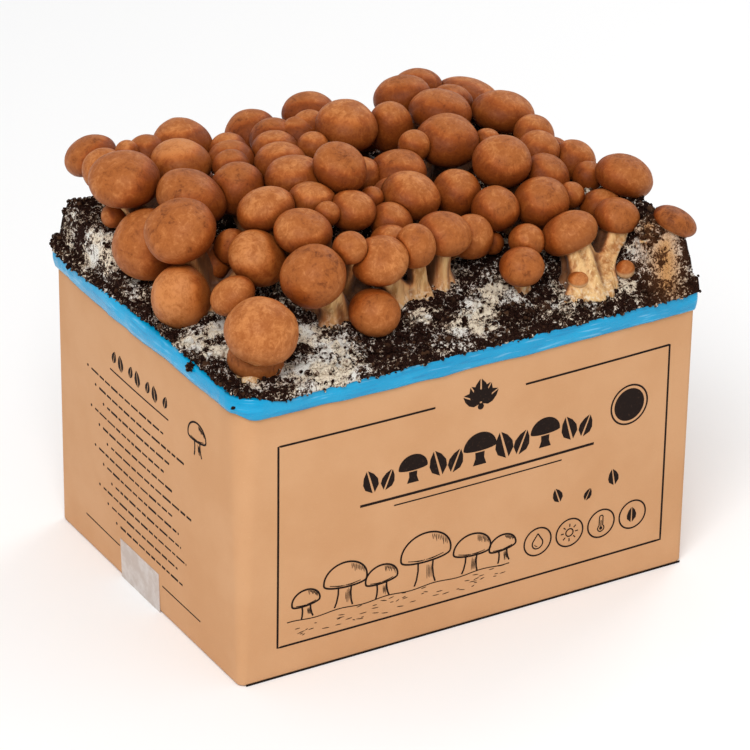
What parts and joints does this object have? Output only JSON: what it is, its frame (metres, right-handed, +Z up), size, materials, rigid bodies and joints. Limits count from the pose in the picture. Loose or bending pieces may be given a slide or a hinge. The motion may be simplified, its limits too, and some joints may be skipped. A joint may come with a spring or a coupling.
{
  "type": "chestnut mushroom grow kit",
  "caption": "Open kraft carton lined with blue film and filled with dark casing soil, from which a dense heap of round brown mushrooms grows.",
  "frame": {"origin": "centre of the carton's underside, on the surface that it stands on", "axes": "X to the right along the long front face, Y from the front to the back, Z up"},
  "size_m": [0.3111, 0.2504, 0.2676],
  "materials": {
    "kraft": "matt brown kraft board with thin dark line drawings",
    "tape": "pale see-through packing tape",
    "film": "thin glossy blue plastic film",
    "peat": "dark moist crumbly peat with white mycelium",
    "cap": "brown mottled skin with a soft sheen",
    "stem": "cream fibrous flesh"
  },
  "bodies": {
    "root": {"carton": "kraft", "tape": "tape", "liner": "film", "substrate": "peat", "cap_01": "cap", "cap_03": "cap", "cap_05": "cap", "cap_06": "cap", "cap_08": "cap", "cap_09": "cap", "cap_10": "cap", "cap_15": "cap", "cap_16": "cap", "cap_17": "cap", "cap_21": "cap", "cap_23": "cap", "cap_24": "cap", "cap_26": "cap", "cap_27": "cap", "cap_30": "cap", "cap_33": "cap", "cap_35": "cap", "cap_36": "cap", "cap_37": "cap", "cap_38": "cap", "cap_40": "cap", "cap_41": "cap", "cap_42": "cap", "cap_43": "cap", "cap_44": "cap", "cap_45": "cap", "cap_47": "cap", "cap_48": "cap", "cap_49": "cap", "cap_50": "cap", "cap_51": "cap", "cap_53": "cap", "cap_54": "cap", "cap_56": "cap", "cap_57": "cap", "cap_59": "cap", "cap_60": "cap", "cap_61": "cap", "cap_71": "cap", "cap_72": "cap", "cap_74": "cap", "mushroom_07": "cap", "mushroom_28": "cap", "mushroom_29": "cap", "mushroom_31": "cap", "mushroom_63": "cap", "mushroom_64": "cap", "stems_front_left": "stem", "stems_back_left": "stem", "stems_front": "stem", "stems_middle": "stem", "stems_centre": "stem", "stems_back": "stem", "stems_back_right": "stem", "stems_right": "stem"}
  },
  "joints": []
}
